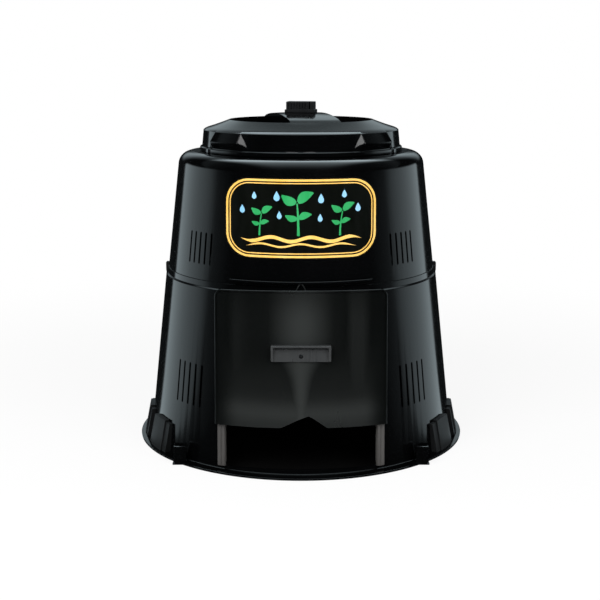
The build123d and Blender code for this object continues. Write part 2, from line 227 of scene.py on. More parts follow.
# The harvest opening is cut square to the sloping front, and the lower vents are cut through the wall.
front_slope = atan(tub_taper)
up_front = Matrix.Translation((0, -tub_foot_r, 0)) @ Matrix.Rotation(-front_slope, 4, "X")
sill = 0.018
opening_top = 0.3176
opening_half = 0.178
opening = block(
    "opening_cutter",
    (2 * opening_half, 0.3, opening_top - sill),
    (0, 0, (opening_top + sill) / 2),
    0.012,
    along=1,
)
opening.data.transform(up_front)
cut(lower_shell, opening)
cut(lower_shell, vents(tub_r(0.189), 0.189, 0.102))
smooth(lower_shell)
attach(lower_shell, "bin")
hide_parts("lower_body")

# The tub's finish is a glossy black moulding skin, a little wavy and unevenly polished.
def make_moulded_skin():
    """Shader group for moulded plastic: mottled colour, uneven gloss and a fine skin."""
    group = bpy.data.node_groups.new("moulded_skin", "ShaderNodeTree")
    sockets = (
        ("Colour", "INPUT", "NodeSocketColor"),
        ("Rubbed Colour", "INPUT", "NodeSocketColor"),
        ("Gloss", "INPUT", "NodeSocketFloat"),
        ("Rubbed Gloss", "INPUT", "NodeSocketFloat"),
        ("Mottle Scale", "INPUT", "NodeSocketFloat"),
        ("Grain Scale", "INPUT", "NodeSocketFloat"),
        ("Colour", "OUTPUT", "NodeSocketColor"),
        ("Roughness", "OUTPUT", "NodeSocketFloat"),
        ("Height", "OUTPUT", "NodeSocketFloat"),
    )
    for name, way, kind in sockets:
        group.interface.new_socket(name=name, in_out=way, socket_type=kind)
    nodes, links = group.nodes, group.links
    given = nodes.new("NodeGroupInput")
    made = nodes.new("NodeGroupOutput")
    place = nodes.new("ShaderNodeTexCoord")
    streaked = nodes.new("ShaderNodeMapping")
    streaked.inputs["Scale"].default_value = (1.0, 1.0, 0.12)
    links.new(place.outputs["Object"], streaked.inputs["Vector"])

    mottle = nodes.new("ShaderNodeTexNoise")
    mottle.inputs["Detail"].default_value = 3.0
    links.new(streaked.outputs["Vector"], mottle.inputs["Vector"])
    links.new(given.outputs["Mottle Scale"], mottle.inputs["Scale"])
    rubbed = nodes.new("ShaderNodeMapRange")
    rubbed.inputs["From Min"].default_value = 0.30
    rubbed.inputs["From Max"].default_value = 0.78
    links.new(mottle.outputs["Fac"], rubbed.inputs["Value"])

    tint = nodes.new("ShaderNodeMix")
    tint.data_type = "RGBA"
    links.new(rubbed.outputs["Result"], tint.inputs["Factor"])
    links.new(given.outputs["Colour"], tint.inputs[6])
    links.new(given.outputs["Rubbed Colour"], tint.inputs[7])
    links.new(tint.outputs[2], made.inputs["Colour"])

    gloss = nodes.new("ShaderNodeMapRange")
    links.new(rubbed.outputs["Result"], gloss.inputs["Value"])
    links.new(given.outputs["Gloss"], gloss.inputs["To Min"])
    links.new(given.outputs["Rubbed Gloss"], gloss.inputs["To Max"])
    links.new(gloss.outputs["Result"], made.inputs["Roughness"])

    grain = nodes.new("ShaderNodeTexNoise")
    grain.inputs["Detail"].default_value = 3.0
    links.new(place.outputs["Object"], grain.inputs["Vector"])
    links.new(given.outputs["Grain Scale"], grain.inputs["Scale"])
    links.new(grain.outputs["Fac"], made.inputs["Height"])
    return group


moulded_skin = make_moulded_skin()


def plastic(name, colour, rubbed_colour, gloss, mottle_scale, grain_scale, grain_depth, shine=0.5):
    """Moulded plastic whose colour, gloss and skin come from the shared group."""
    material = bpy.data.materials.new(name)
    material.use_nodes = True
    nodes, links = material.node_tree.nodes, material.node_tree.links
    shader = nodes["Principled BSDF"]
    shader.inputs["Specular IOR Level"].default_value = shine
    skin = nodes.new("ShaderNodeGroup")
    skin.node_tree = moulded_skin
    skin.inputs["Colour"].default_value = (*colour, 1)
    skin.inputs["Rubbed Colour"].default_value = (*rubbed_colour, 1)
    skin.inputs["Gloss"].default_value = gloss[0]
    skin.inputs["Rubbed Gloss"].default_value = gloss[1]
    skin.inputs["Mottle Scale"].default_value = mottle_scale
    skin.inputs["Grain Scale"].default_value = grain_scale
    relief = nodes.new("ShaderNodeBump")
    relief.inputs["Strength"].default_value = 0.5
    relief.inputs["Distance"].default_value = grain_depth
    links.new(skin.outputs["Colour"], shader.inputs["Base Color"])
    links.new(skin.outputs["Roughness"], shader.inputs["Roughness"])
    links.new(skin.outputs["Height"], relief.inputs["Height"])
    links.new(relief.outputs["Normal"], shader.inputs["Normal"])
    return material


def dress(piece, *materials):
    """Give a piece its materials."""
    piece.data.materials.clear()
    for material in materials:
        piece.data.materials.append(material)
    return piece


gloss_black = plastic(
    "gloss_black",
    colour=(0.0006, 0.0007, 0.0008),
    rubbed_colour=(0.0014, 0.0015, 0.0017),
    gloss=(0.08, 0.14),
    mottle_scale=9.0,
    grain_scale=42.0,
    grain_depth=0.00012,
)
dress(lower_shell, gloss_black)

# Upper half of the shell: the same black polyethylene, with a rounded shoulder and a neck for the lid.
# A spigot under its lower edge drops inside the tub, and a hood over the door is moulded on its front.
neck_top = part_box("upper_body")[1].z
spigot_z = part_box("upper_body")[0].z
shoulder_z = 0.726
shoulder_round = 0.032
shoulder_rise = 0.0044
shoulder_in_r = 0.272
neck_r = 0.236
upper_taper = 0.114
spigot_top_r = tub_r(seam_z) - band_setback - wall - 0.0003
spigot_foot_r = spigot_top_r + tub_taper * (seam_z - spigot_z)
ledge_z = seam_z + 0.006


def upper_r(z):
    """Outside radius of the upper wall at a height."""
    return tub_r(seam_z) - 0.0048 - upper_taper * (z - seam_z)


upper_shell = turn("upper_shell", rounded([
    (spigot_foot_r - wall, spigot_z, 0.001),
    (spigot_foot_r, spigot_z, 0.001),
    (spigot_top_r, seam_z, 0),
    (upper_r(seam_z), seam_z, 0.0012),
    (upper_r(shoulder_z), shoulder_z, shoulder_round),
    (shoulder_in_r, shoulder_z + shoulder_rise, 0.002),
    (neck_r, shoulder_z + shoulder_rise, 0.003),
    (neck_r, neck_top, 0.0012),
    (neck_r - wall, neck_top, 0.0012),
    (neck_r - wall, shoulder_z - wall, 0.0012),
    (upper_r(shoulder_z - wall) - wall, shoulder_z - wall, shoulder_round - wall),
    (upper_r(ledge_z) - wall, ledge_z, 0),
    (spigot_top_r - wall, seam_z + 0.003, 0),
    (spigot_top_r - wall, seam_z, 0),
], cuts=9))
cut(upper_shell, vents(upper_r(seam_z + 0.075), seam_z + 0.075, 0.076))

hood_z = 0.4500
hood_thick = 0.006
hood_r = 0.3550
hood_half = 28.0
hood = turn("hood", rounded([
    (upper_r(hood_z) - wall / 2, hood_z, 0),
    (hood_r, hood_z, 0.002),
    (hood_r, hood_z + hood_thick, 0.002),
    (upper_r(hood_z + hood_thick) - wall / 2, hood_z + hood_thick, 0),
]), start=-hood_half, sweep=2 * hood_half, steps=72)
cut(upper_shell, hood, "UNION")
smooth(upper_shell)
dress(upper_shell, gloss_black)
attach(upper_shell, "bin")
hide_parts("upper_body")

# Lid: a domed black moulding that drops over the neck and lifts off. Its skirt flares out into four lobes,
# and two finger scoops are sunk in the dome either side of the bar that carries the handle.
lid_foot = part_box("lid")[0].z
lid_top = 0.824
lip_top = lid_foot + 0.0115
lid_rim_z = lid_top - 0.038
lid_wall = 0.003
skirt_foot_r = 0.2505
skirt_head_r = 0.245
lip_out = 0.004
crown_edge_r = 0.170
crown_drop = 0.012


def dome_z(r):
    """Height of the dome's outside at a radius: a shallow crown and a steeper haunch."""
    if r <= crown_edge_r:
        return lid_top - crown_drop * (r / crown_edge_r) ** 2
    t = (r - crown_edge_r) / (skirt_head_r - crown_edge_r)
    edge_z = lid_top - crown_drop
    return (1 - t) ** 2 * edge_z + 2 * t * (1 - t) * (edge_z - 0.0155) + t ** 2 * lid_rim_z


def skirt_r(z):
    """Outside radius of the skirt between its lobes at a height."""
    return skirt_foot_r + (skirt_head_r - skirt_foot_r) * (z - lid_foot) / (lid_rim_z - lid_foot)


crease_z = lid_rim_z - 0.025
skirt_rings = [lip_top + 0.003 + (crease_z - lip_top - 0.003) * ring / 10 for ring in range(10)]
skirt_rings += [crease_z + (lid_rim_z - 0.0030 - crease_z) * ring / 14 for ring in range(15)]
dome_rings = [skirt_head_r * ring / 28 for ring in range(1, 28)]
under_dome = [(0, lid_top - lid_wall)]
under_dome += [(r, dome_z(r) - lid_wall) for r in dome_rings if r < neck_r]
under_dome += [(skirt_head_r - lid_wall, lid_rim_z - lid_wall)]
in_skirt = [(skirt_r(z) - lid_wall, z) for z in reversed(skirt_rings)]
lip = [
    (skirt_foot_r - lid_wall, lid_foot),
    (skirt_foot_r + lip_out - 0.001, lid_foot),
    (skirt_foot_r + lip_out, lid_foot + 0.001),
    (skirt_foot_r + lip_out, lip_top - 0.0015),
    (skirt_foot_r + lip_out - 0.0015, lip_top),
    (skirt_r(lip_top) + 0.001, lip_top),
    (skirt_r(lip_top), lip_top + 0.0015),
]
out_skirt = [(skirt_r(z), z) for z in skirt_rings]
over_dome = [(skirt_head_r - 0.0005, lid_rim_z - 0.0023), (skirt_head_r - 0.0036, lid_rim_z + 0.0002)]
over_dome += [(r, dome_z(r)) for r in reversed(dome_rings) if r < skirt_head_r - 0.004]
over_dome += [(0, lid_top)]
lid = turn("lid_moulding", under_dome + in_skirt + lip + out_skirt + over_dome, steps=480)

# Each lobe leans out of the skirt to a crease and tucks in a little below it, between two flat facets.
# The spin's columns are drawn together round the facets to keep their edges straight.
lobe_middles = (46.2, 133.8, 226.2, 313.8)
lobe_half = 10.8
facet_wide = 6.2
lobe_r = 0.262
lobe_tuck = 0.0085
lean = (lobe_r - skirt_r(crease_z)) / (lid_rim_z - crease_z)
facet_fall = lean * (lid_rim_z - lip_top) / facet_wide
facet_near = lobe_half - 0.4
facet_far = lobe_half + facet_wide + 0.4
stretches = [(0.0, 0.0)]
for middle in lobe_middles:
    for near, far in ((-facet_far, -facet_near), (facet_near, facet_far)):
        count, at = stretches[-1]
        count += middle + near - at
        stretches += [(count, middle + near), (count + 5 * (far - near), middle + far)]
stretches.append((stretches[-1][0] + 360 - stretches[-1][1], 360.0))


def drawn_together(angle):
    """Bearing of a spin column, closer to its neighbours on the facets."""
    count = angle / 360 * stretches[-1][0]
    for (low, first), (high, last) in zip(stretches, stretches[1:]):
        if count <= high:
            return first + (last - first) * (count - low) / (high - low)
    return 360.0


for vertex in lid.data.vertices:
    x, y, z = vertex.co
    r = Vector((x, y)).length
    bearing = drawn_together(atan2(x, -y) * 180 / pi % 360)
    if z <= lid_rim_z and r > neck_r + 0.001:
        off = min(abs((bearing - middle + 180) % 360 - 180) for middle in lobe_middles)
        past = max(0.0, off - lobe_half)
        drop = lid_rim_z - z
        below = min(1.0, max(0.0, (crease_z - z) / (crease_z - lip_top)))
        upright = (lobe_r - lobe_tuck * below - skirt_r(z)) * (1 - past / facet_wide)
        r += max(0.0, min(lean * drop - facet_fall * past, upright))
    vertex.co = (r * sin(radians(bearing)), -r * cos(radians(bearing)), z)

scoop_r = 0.181
scoop_floor = 0.794
bar_half = 0.061
bar_turn = 12.0


def scoop(name, grow, foot, rounding):
    """Pair of D-shaped prisms either side of the bar, grown by a wall and standing on a foot."""
    bpy.ops.object.select_all(action="DESELECT")
    tall = lid_top + 0.02 - foot
    bpy.ops.mesh.primitive_cylinder_add(
        vertices=192,
        radius=scoop_r + grow,
        depth=tall,
        location=(0, 0, foot + tall / 2),
    )
    bpy.ops.object.transform_apply(location=True)
    half = bpy.context.active_object
    half.name = name
    bpy.ops.object.mode_set(mode="EDIT")
    bpy.ops.mesh.select_all(action="SELECT")
    flat_x = bar_half - grow
    bpy.ops.mesh.bisect(plane_co=(flat_x, 0, 0), plane_no=(1, 0, 0), use_fill=True, clear_inner=True)
    bpy.ops.mesh.select_mode(type="EDGE")
    bpy.ops.mesh.select_all(action="DESELECT")
    bpy.ops.object.mode_set(mode="OBJECT")
    corners = half.data.vertices
    for edge in half.data.edges:
        first, second = corners[edge.vertices[0]].co, corners[edge.vertices[1]].co
        upright = abs(first.z - second.z) > tall / 2
        edge.select = upright and abs(first.x - flat_x) < 1e-5
    bpy.ops.object.mode_set(mode="EDIT")
    bpy.ops.mesh.bevel(offset=rounding, segments=6, affect="EDGES")
    bpy.ops.object.mode_set(mode="OBJECT")
    return copies(half, [about_z(bar_turn), about_z(bar_turn + 180)])


filled_dome = [(0, 0.75), (neck_r, 0.75)]
filled_dome += [(r, dome_z(r) - 0.001) for r in reversed(dome_rings) if r < neck_r]
filled_dome += [(0, lid_top - 0.001)]
dome_fill = turn("dome_fill", filled_dome)
pans = cut(scoop("pans", lid_wall, scoop_floor - lid_wall, 0.019), dome_fill, "INTERSECT")
cut(lid, pans, "UNION")
cut(lid, scoop("scoop_cutter", 0.0, scoop_floor, 0.016))
smooth(lid, 24)
dress(lid, gloss_black)
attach(lid, "lid")
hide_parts("lid")

# Lid handle: a ribbed black block on a plinth, slit in front near its right end and turned a little on the lid.
# Two screws from inside the lid hold it down on the dome.
handle_low, handle_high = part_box("lid_handle")
handle_turn = about_z(-11)
handle_wide = 0.070
handle_deep = 0.036
handle_foot = handle_low.z + 0.0002
handle_tall = handle_high.z - handle_foot
handle_mid = (handle_high.z + handle_foot) / 2
plinth_top = lid_top + 0.008
rib_pitch = 0.007
groove_wide = 0.0026
groove_deep = 0.0022
slit_x = 0.025
slit_wide = 0.003
slit_deep = 0.020
slit_reach = 0.022
handle = block("handle_block", (handle_wide, handle_deep, handle_tall), (0, 0, handle_mid), 0.0022)
groove_tall = handle_high.z - plinth_top - 0.004
groove = block(
    "groove_cutter",
    (groove_wide, 2 * groove_deep, groove_tall),
    (0, 0, plinth_top + groove_tall / 2),
    0.0008,
    segments=2,
)
groove_places = [
    Matrix.Translation((-0.028 + rib_pitch * k, side * handle_deep / 2, 0))
    for k in range(7)
    for side in (-1, 1)
]
cut(handle, copies(groove, groove_places))
slit_size = (slit_wide, 2 * slit_reach, 2 * slit_deep)
cut(handle, block("slit_cutter", slit_size, (slit_x, -handle_deep / 2, handle_high.z), 0.0005, segments=2))
plinth_size = (handle_wide + 0.006, handle_deep + 0.006, plinth_top - handle_foot)
plinth = block("plinth", plinth_size, (0, 0, (plinth_top + handle_foot) / 2), 0.0015, segments=3)
cut(handle, plinth, "UNION")
handle.data.transform(handle_turn)
smooth(handle, 40)
matte_black = plastic(
    "matte_black",
    colour=(0.0060, 0.0064, 0.0068),
    rubbed_colour=(0.0120, 0.0126, 0.0132),
    gloss=(0.42, 0.56),
    mottle_scale=22.0,
    grain_scale=700.0,
    grain_depth=0.0002,
    shine=0.12,
)
dress(handle, matte_black)
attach(handle, "lid")
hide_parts("lid_handle")

# Screws: pan-head steel screws with a cross recess, two up through the lid into the handle.
screw_low, screw_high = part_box("lid_handle_screws")
screw_steel = bpy.data.materials.new("screw_steel")
screw_steel.use_nodes = True
nodes, links = screw_steel.node_tree.nodes, screw_steel.node_tree.links
steel = nodes["Principled BSDF"]
steel.inputs["Metallic"].default_value = 1.0
brushed = nodes.new("ShaderNodeTexNoise")
brushed.inputs["Scale"].default_value = 900.0
brushed_place = nodes.new("ShaderNodeTexCoord")
brushed_gloss = nodes.new("ShaderNodeMapRange")
brushed_gloss.inputs["To Min"].default_value = 0.24
brushed_gloss.inputs["To Max"].default_value = 0.44
brushed_tint = nodes.new("ShaderNodeMix")
brushed_tint.data_type = "RGBA"
brushed_tint.inputs[6].default_value = (0.30, 0.31, 0.32, 1)
brushed_tint.inputs[7].default_value = (0.46, 0.47, 0.48, 1)
links.new(brushed_place.outputs["Object"], brushed.inputs["Vector"])
links.new(brushed.outputs["Fac"], brushed_gloss.inputs["Value"])
links.new(brushed.outputs["Fac"], brushed_tint.inputs["Factor"])
links.new(brushed_gloss.outputs["Result"], steel.inputs["Roughness"])
links.new(brushed_tint.outputs[2], steel.inputs["Base Color"])


def screw(name, head_r, head_tall, shank_r, shank_long):
    """Pan-head screw that points up, its head's seat at the origin, with a cross recess underneath."""
    piece = turn(name, [
        (0, -head_tall),
        (head_r * 0.55, -head_tall),
        (head_r * 0.84, -head_tall * 0.85),
        (head_r * 0.97, -head_tall * 0.5),
        (head_r, -head_tall * 0.12),
        (head_r * 0.96, 0),
        (shank_r, 0),
        (shank_r, shank_long - shank_r),
        (shank_r * 0.3, shank_long),
        (0, shank_long),
    ], steps=40)
    for long, wide in ((1.1, 0.26), (0.26, 1.1)):
        size = (head_r * long, head_r * wide, head_tall * 1.2)
        cut(piece, block("recess_cutter", size, (0, 0, -head_tall), head_r * 0.06))
    return smooth(piece)


head_tall = 0.003
handle_screw = screw("handle_screw", 0.005, head_tall, 0.0022, screw_high.z - screw_low.z - head_tall)
screw_seats = [handle_turn @ Matrix.Translation((x, 0, screw_low.z + head_tall)) for x in (-0.018, 0.018)]
handle_screws = copies(handle_screw, screw_seats)
handle_screws.name = "handle_screws"
dress(handle_screws, screw_steel)
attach(handle_screws, "lid")
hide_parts("lid_handle_screws")

# Harvest door: a satin black panel bent to the tub's curve, with edges that hook behind the rails.
# It slides up and down the sloping front; a rolled bead runs round its top and sides.
bend_r = 0.384
door_outer = bend_r + 0.0104
door_inner = bend_r + 0.0074
hook_outer = bend_r + 0.0044
hook_inner = bend_r + 0.0024
door_half = 0.203
door_top = 0.4376
door_foot = 0.1186
door_round = 0.018
edge_angle = asin(door_half / door_outer)
edge_thick = 0.003 / door_outer
hook_reach = 0.012 / door_outer


def on_door(out, angle, up):
    """Point at a radius from the door's bend axis, an angle off its middle and a height up its slope."""
    return Vector((out * sin(angle), bend_r - out * cos(angle), up))


arc_steps = 72
section = [on_door(door_outer, edge_angle * (2 * k / arc_steps - 1), door_foot) for k in range(arc_steps + 1)]
section += [on_door(hook_inner, edge_angle, door_foot), on_door(hook_inner, edge_angle - hook_reach, door_foot)]
section += [on_door(hook_outer, edge_angle - hook_reach, door_foot)]
section += [on_door(hook_outer, edge_angle - edge_thick, door_foot)]
inner_angle = edge_angle - edge_thick
section += [on_door(door_inner, inner_angle * (1 - 2 * k / arc_steps), door_foot) for k in range(arc_steps + 1)]
section += [on_door(hook_outer, -inner_angle, door_foot)]
section += [on_door(hook_outer, hook_reach - edge_angle, door_foot)]
section += [on_door(hook_inner, hook_reach - edge_angle, door_foot), on_door(hook_inner, -edge_angle, door_foot)]


def push_up(name, points, rise, steps):
    """Solid drawn up the front's slope from a flat outline, in equal steps."""
    mesh = bpy.data.meshes.new(name)
    mesh.from_pydata(points, [], [list(range(len(points)))])
    piece = bpy.data.objects.new(name, mesh)
    bpy.context.collection.objects.link(piece)
    only(piece)
    bpy.ops.object.mode_set(mode="EDIT")
    bpy.ops.mesh.select_all(action="SELECT")
    for step in range(steps):
        bpy.ops.mesh.extrude_region_move(TRANSFORM_OT_translate={"value": (0, 0, rise / steps)})
    bpy.ops.mesh.select_all(action="SELECT")
    bpy.ops.mesh.normals_make_consistent(inside=False)
    bpy.ops.object.mode_set(mode="OBJECT")
    return piece


door = push_up("door_panel", section, door_top - door_foot, 60)

# The top corners are rounded, and a soft notch in the bottom edge leaves room for a hand.
corner_round = block(
    "corner_cutter",
    (2 * door_half, 0.6, 2 * (door_top - door_foot)),
    (0, 0, door_foot),
    door_round,
    along=1,
    segments=8,
)
cut(door, corner_round, "INTERSECT")
notch_left = -0.049
notch_apex = 0.0175
notch_right = 0.062
notch_rise = 0.027
notch = []
for k in range(49):
    x = notch_left + (notch_right - notch_left) * k / 48
    reach = notch_apex - notch_left if x < notch_apex else notch_right - notch_apex
    off = abs(x - notch_apex) / reach
    notch.append((x, -0.2, door_foot + notch_rise * (1 - off) ** 1.25 * (1 + 0.5 * off)))
notch += [(notch_right, -0.2, door_foot - 0.02), (notch_left, -0.2, door_foot - 0.02)]
mesh = bpy.data.meshes.new("notch_cutter")
mesh.from_pydata(notch, [], [list(range(len(notch)))])
notch_cutter = bpy.data.objects.new("notch_cutter", mesh)
bpy.context.collection.objects.link(notch_cutter)
only(notch_cutter)
bpy.ops.object.mode_set(mode="EDIT")
bpy.ops.mesh.select_all(action="SELECT")
bpy.ops.mesh.extrude_region_move(TRANSFORM_OT_translate={"value": (0, 0.4, 0)})
bpy.ops.mesh.select_all(action="SELECT")
bpy.ops.mesh.normals_make_consistent(inside=False)
bpy.ops.object.mode_set(mode="OBJECT")
cut(door, notch_cutter)

# The foot of the panel curls out a little.
curl_tall = 0.055
curl_out = 0.008
for vertex in door.data.vertices:
    drop = max(0.0, 1 - (vertex.co.z - door_foot) / curl_tall)
    vertex.co.y -= curl_out * drop ** 2

# The rolled bead is a rod bent round the panel's edge and half sunk in its face.
bead_r = 0.0030
bead_path = [(-door_half + bead_r, door_foot + (door_top - door_round - door_foot) * k / 20) for k in range(21)]
corner_middle = (-door_half + door_round, door_top - door_round)
for k in range(1, 9):
    swing = radians(180 - 90 * k / 8)
    bead_path.append((
        corner_middle[0] + (door_round - bead_r) * cos(swing),
        corner_middle[1] + (door_round - bead_r) * sin(swing),
    ))
bead_path += [(corner_middle[0] * (1 - k / 24), door_top - bead_r) for k in range(1, 24)]
bead_path += [(0, door_top - bead_r)] + [(-x, up) for x, up in reversed(bead_path)]
curve = bpy.data.curves.new("door_bead", "CURVE")
curve.dimensions = "3D"
curve.bevel_depth = bead_r
curve.bevel_resolution = 4
curve.use_fill_caps = True
strand = curve.splines.new("POLY")
strand.points.add(len(bead_path) - 1)
for point, (x, up) in zip(strand.points, bead_path):
    drop = max(0.0, 1 - (up - door_foot) / curl_tall)
    place = on_door(door_outer, asin(x / door_outer), up) - Vector((0, curl_out * drop ** 2, 0))
    point.co = (*place, 1)
bead = bpy.data.objects.new("door_bead", curve)
bpy.context.collection.objects.link(bead)
only(bead)
bpy.ops.object.convert(target="MESH")
door.select_set(True)
bpy.context.view_layer.objects.active = door
bpy.ops.object.join()
door.data.transform(up_front)
smooth(door, 28)


def even_shading(piece):
    """Shade broad faces flat up to the small rounded ones beside them."""
    only(piece)
    bpy.ops.object.modifier_add(type="WEIGHTED_NORMAL")
    piece.modifiers[-1].keep_sharp = True
    bpy.ops.object.modifier_apply(modifier=piece.modifiers[-1].name)


even_shading(door)
satin_black = plastic(
    "satin_black",
    colour=(0.0014, 0.0018, 0.0017),
    rubbed_colour=(0.0026, 0.0032, 0.0030),
    gloss=(0.26, 0.38),
    mottle_scale=16.0,
    grain_scale=160.0,
    grain_depth=0.0002,
)


def ramp(tree, value, stops):
    """Level that follows a list of (value, level) stops; the first two are the ends."""
    node = tree.nodes.new("ShaderNodeValToRGB")
    for index, (at, level) in enumerate(stops):
        stop = node.color_ramp.elements[index] if index < 2 else node.color_ramp.elements.new(at)
        stop.position = at
        stop.color = (level, level, level, 1)
    tree.links.new(value, node.inputs["Fac"])
    return node.outputs["Color"]


def ranged(tree, value, low, high, at_low, at_high, kind="SMOOTHSTEP"):
    """Step of a value between two levels."""
    step = tree.nodes.new("ShaderNodeMapRange")
    step.interpolation_type = kind
    step.inputs["From Min"].default_value = low
    step.inputs["From Max"].default_value = high
    step.inputs["To Min"].default_value = at_low
    step.inputs["To Max"].default_value = at_high
    tree.links.new(value, step.inputs["Value"])
    return step.outputs["Result"]


def joined(tree, operation, first, second):
    """Sum, product or other result of two values."""
    sum_node = tree.nodes.new("ShaderNodeMath")
    sum_node.operation = operation
    tree.links.new(first, sum_node.inputs[0])
    tree.links.new(second, sum_node.inputs[1])
    return sum_node.outputs["Value"]


def size_of(tree, value):
    """Value without its sign."""
    positive = tree.nodes.new("ShaderNodeMath")
    positive.operation = "ABSOLUTE"
    tree.links.new(value, positive.inputs[0])
    return positive.outputs["Value"]


# Painted sheen: upright pale streaks of painted reflection run down the panel, the palest in the middle, and a painted
# highlight lightens its curled foot and the bottom of the panel.
tree = satin_black.node_tree
place = tree.nodes.new("ShaderNodeTexCoord")
split = tree.nodes.new("ShaderNodeSeparateXYZ")
tree.links.new(place.outputs["Object"], split.inputs["Vector"])
off_middle = size_of(tree, split.outputs["X"])
side_sheen_streaks = ramp(tree, ranged(tree, split.outputs["X"], -0.20, 0.20, 0.0, 1.0, "LINEAR"), (
    (0.0, 0.0), (1.0, 0.0), (0.07, 0.0), (0.12, 0.12), (0.20, 0.05), (0.70, 0.05), (0.76, 0.0), (0.80, 0.20),
    (0.86, 0.20), (0.91, 0.0),
))
narrowed = joined(tree, "MULTIPLY", off_middle, ranged(tree, split.outputs["Z"], 0.19, 0.31, 2.9, 1.0))
middle_sheen_streak = ranged(tree, narrowed, 0.0, 0.092, 0.74, 0.0)
high_fade = ranged(tree, split.outputs["Z"], 0.36, 0.44, 1.0, 0.45)
sheen_streaks = joined(tree, "MULTIPLY", joined(tree, "MAXIMUM", middle_sheen_streak, side_sheen_streaks), high_fade)
# Painted highlight: the bottom of the panel and its curled foot are painted paler, standing in for light from above and
# from the floor.
low_sheen = ranged(tree, split.outputs["Z"], 0.16, 0.34, 0.20, 0.0)
curl_highlight = ramp(tree, ranged(tree, split.outputs["Z"], 0.115, 0.205, 0.0, 1.0, "LINEAR"), (
    (0.0, 0.10), (1.0, 0.0), (0.16, 0.20), (0.38, 0.40), (0.52, 0.34), (0.78, 0.06),
))
inside = ranged(tree, off_middle, 0.145, 0.195, 1.0, 0.05)
foot = joined(tree, "MULTIPLY", joined(tree, "ADD", low_sheen, curl_highlight), inside)
painted_sheen = joined(tree, "MAXIMUM", sheen_streaks, foot)
# The painted sheen and highlight lift the skin colour towards pale grey.
painted_sheen_mix = tree.nodes.new("ShaderNodeMix")
painted_sheen_mix.data_type = "RGBA"
painted_sheen_mix.inputs[7].default_value = (0.030, 0.033, 0.032, 1)
skin_colour = next(node for node in tree.nodes if node.type == "GROUP").outputs["Colour"]
tree.links.new(painted_sheen, painted_sheen_mix.inputs["Factor"])
tree.links.new(skin_colour, painted_sheen_mix.inputs[6])
tree.links.new(painted_sheen_mix.outputs[2], tree.nodes["Principled BSDF"].inputs["Base Color"])
dress(door, satin_black)
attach(door, "door")
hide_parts("harvest_door")

# Rails: two dull grey strips up the front, fixed to the wall on both sides of the opening.
# Each is a thin lip on a web, which the door's edge hooks behind; a groove runs up the lip.
rail_in = 0.1805
rail_out = 0.1975
rail_web = 0.006
rail_low = sill
rail_high = 0.4196
lip_inner = bend_r + 0.0049
lip_outer = bend_r + 0.0069
rail_grey = plastic(
    "rail_grey",
    colour=(0.044, 0.042, 0.040),
    rubbed_colour=(0.086, 0.083, 0.080),
    gloss=(0.32, 0.46),
    mottle_scale=30.0,
    grain_scale=420.0,
    grain_depth=0.0002,
)
for side, name in ((-1, "left"), (1, "right")):
    inner, outer = asin(rail_in / lip_outer), asin(rail_out / lip_outer)
    web = inner + rail_web / lip_outer
    middle, groove = (inner + outer) / 2, 0.0014 / lip_outer
    rail_section = [
        on_door(bend_r - 0.0012, side * inner, rail_low),
        on_door(bend_r - 0.0012, side * web, rail_low),
        on_door(lip_inner, side * web, rail_low),
        on_door(lip_inner, side * outer, rail_low),
        on_door(lip_outer, side * outer, rail_low),
        on_door(lip_outer, side * (middle + groove), rail_low),
        on_door(lip_outer - 0.0016, side * middle, rail_low),
        on_door(lip_outer, side * (middle - groove), rail_low),
        on_door(lip_outer, side * inner, rail_low),
    ]
    rail = push_up("rail_" + name, rail_section, rail_high - rail_low, 8)
    rail.data.transform(up_front)
    smooth(rail, 24)
    dress(rail, rail_grey)
    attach(rail, "bin")
    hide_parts("door_rail_" + name)

# Door pull: a shallow satin grey box screwed to the door, hooded at the top and open below for the fingers.
pull_low, pull_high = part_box("door_pull")
pull_wide = pull_high.x - pull_low.x
pull_top = 0.3116
pull_foot = 0.2731
pull_face = 0.0104
pull_rim = 0.005
pull_plate = 0.004
pull_deep = 0.016
pull_foot_deep = 0.007
pull = block(
    "pull_box",
    (pull_wide, 0.034, pull_top - pull_foot),
    (0, -pull_face - pull_deep + 0.017, (pull_top + pull_foot) / 2),
    0.0020,
    segments=3,
)
for vertex in pull.data.vertices:
    if vertex.co.y < -pull_face - 0.002:
        slant = min(1.0, max(0.0, (pull_top - pull_rim - vertex.co.z) / (pull_top - pull_rim - pull_foot)))
        vertex.co.y += (pull_deep - pull_foot_deep) * slant
hollow_tall = pull_top - pull_foot
hollow = block(
    "hollow_cutter",
    (pull_wide - 2 * pull_rim, 0.06, hollow_tall),
    (0, -pull_face - pull_plate - 0.03, pull_top - pull_rim - hollow_tall / 2),
    0.0015,
    segments=3,
)
cut(pull, hollow)
bpy.ops.object.select_all(action="DESELECT")
bpy.ops.mesh.primitive_cylinder_add(vertices=360, radius=door_outer - 0.0003, depth=0.4, location=(0, bend_r, 0.3))
bpy.ops.object.transform_apply(location=True)
cut(pull, bpy.context.active_object)

# A deep groove under the hood sets the plate off.
groove_under = block(
    "under_hood_cutter",
    (pull_wide - 2 * pull_rim - 0.002, 0.007, 0.0042),
    (0, -pull_face - pull_plate + 0.0005, pull_top - pull_rim - 0.0022),
    0.0004,
    segments=2,
)
cut(pull, groove_under)
pull.data.transform(up_front)
smooth(pull, 30)
even_shading(pull)
satin_grey = plastic(
    "satin_grey",
    colour=(0.030, 0.032, 0.033),
    rubbed_colour=(0.042, 0.044, 0.045),
    gloss=(0.26, 0.36),
    mottle_scale=40.0,
    grain_scale=600.0,
    grain_depth=0.0002,
)
dress(pull, satin_grey)
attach(pull, "door")
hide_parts("door_pull")

